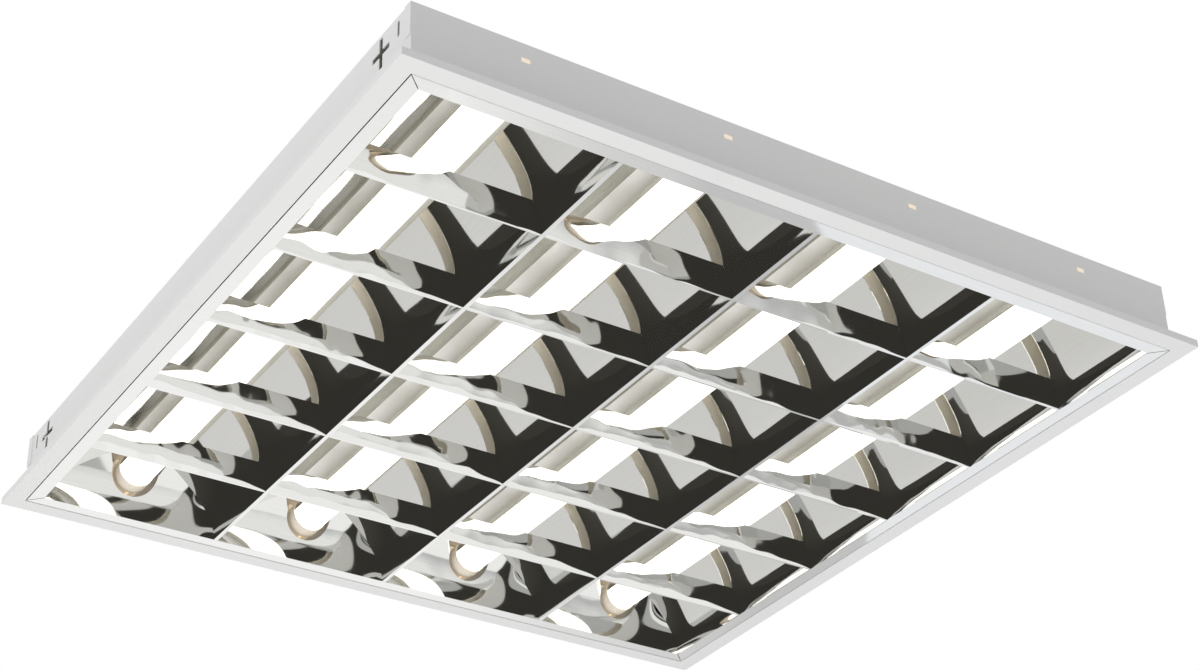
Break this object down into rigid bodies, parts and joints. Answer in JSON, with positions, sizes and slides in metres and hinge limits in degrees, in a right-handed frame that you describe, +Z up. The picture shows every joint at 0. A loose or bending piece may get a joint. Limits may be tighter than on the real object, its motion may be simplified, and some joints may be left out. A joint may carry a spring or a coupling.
{
  "type": "recessed troffer light",
  "caption": "Square recessed ceiling light with a white steel tray, lamp tubes in turning holders and a mirror louvre of long and cross blades that drops and swings open.",
  "frame": {"origin": "centre of the trim's underside, the face that rests on the ceiling grid", "axes": "+Z up into the ceiling void, Y along the lamp tubes, +X towards the louvre's hinged side"},
  "size_m": [0.595, 0.595, 0.0517],
  "materials": {
    "white_steel": "white powder coat",
    "mirror_aluminium": "bright anodised mirror aluminium",
    "satin_aluminium": "satin",
    "opal_cover": "opal diffusing",
    "white_plastic": "moulded",
    "white_board": "solder mask",
    "green_board": "solder mask",
    "zinc_steel": "zinc plated",
    "brass": "bright",
    "dark_rubber": "matt",
    "white_insulation": "insulated wire",
    "earth_insulation": "insulated wire"
  },
  "bodies": {
    "housing": {"body_tray": "white_steel", "end_plate_near": "white_steel", "end_plate_far": "white_steel", "lampholders_near": "white_plastic", "lampholders_far": "white_plastic", "hanger_rivets": "zinc_steel", "catch_springs": "zinc_steel", "terminal_block": "white_plastic", "terminal_screws": "brass", "block_screws": "zinc_steel", "earth_screw": "brass", "cable_grommet": "dark_rubber", "wire_live": "white_insulation", "wire_neutral": "white_insulation", "wire_earth": "earth_insulation"},
    "hanger": {"hanger_straps": "zinc_steel"},
    "louvre": {"border_strips": "mirror_aluminium", "hinge_strip": "mirror_aluminium", "side_reflector_left": "mirror_aluminium", "side_reflector_right": "mirror_aluminium", "end_reflector_near": "mirror_aluminium", "end_reflector_far": "mirror_aluminium", "long_blade_1": "mirror_aluminium", "long_blade_2": "mirror_aluminium", "long_blade_3": "mirror_aluminium", "cross_blade_1": "mirror_aluminium", "cross_blade_2": "mirror_aluminium", "cross_blade_3": "mirror_aluminium", "cross_blade_4": "mirror_aluminium", "cross_blade_5": "mirror_aluminium", "hinge_pins": "zinc_steel"},
    "tube_1": {"tube_back_1": "satin_aluminium", "tube_cover_1": "opal_cover", "led_board_1": "white_board", "driver_board_1": "green_board", "tube_caps_1": "white_plastic", "tube_pins_1": "brass", "rotors_1": "white_plastic"},
    "tube_2": {"tube_back_2": "satin_aluminium", "tube_cover_2": "opal_cover", "led_board_2": "white_board", "driver_board_2": "green_board", "tube_caps_2": "white_plastic", "tube_pins_2": "brass", "rotors_2": "white_plastic"},
    "tube_3": {"tube_back_3": "satin_aluminium", "tube_cover_3": "opal_cover", "led_board_3": "white_board", "driver_board_3": "green_board", "tube_caps_3": "white_plastic", "tube_pins_3": "brass", "rotors_3": "white_plastic"},
    "tube_4": {"tube_back_4": "satin_aluminium", "tube_cover_4": "opal_cover", "led_board_4": "white_board", "driver_board_4": "green_board", "tube_caps_4": "white_plastic", "tube_pins_4": "brass", "rotors_4": "white_plastic"}
  },
  "joints": [
    {"name": "louvre_drop", "type": "slide", "parent": "housing", "child": "hanger", "axis": [0, 0, -1], "range_m": [0, 0.035]},
    {"name": "louvre_swing", "type": "hinge", "parent": "hanger", "child": "louvre", "pos_m": [0.281, 0, 0.004], "axis": [0, -1, 0], "range_deg": [0, 90]},
    {"name": "tube_1_turn", "type": "hinge", "parent": "housing", "child": "tube_1", "pos_m": [-0.2115, 0, 0.035], "axis": [0, 1, 0], "range_deg": [0, 90]},
    {"name": "tube_2_turn", "type": "hinge", "parent": "housing", "child": "tube_2", "pos_m": [-0.0705, 0, 0.035], "axis": [0, 1, 0], "range_deg": [0, 90]},
    {"name": "tube_3_turn", "type": "hinge", "parent": "housing", "child": "tube_3", "pos_m": [0.0705, 0, 0.035], "axis": [0, 1, 0], "range_deg": [0, 90]},
    {"name": "tube_4_turn", "type": "hinge", "parent": "housing", "child": "tube_4", "pos_m": [0.2115, 0, 0.035], "axis": [0, 1, 0], "range_deg": [0, 90]}
  ],
  "couplings": [
    {"joint": "louvre_drop", "follows": "louvre_swing", "m_per_rad": 0.02228}
  ]
}
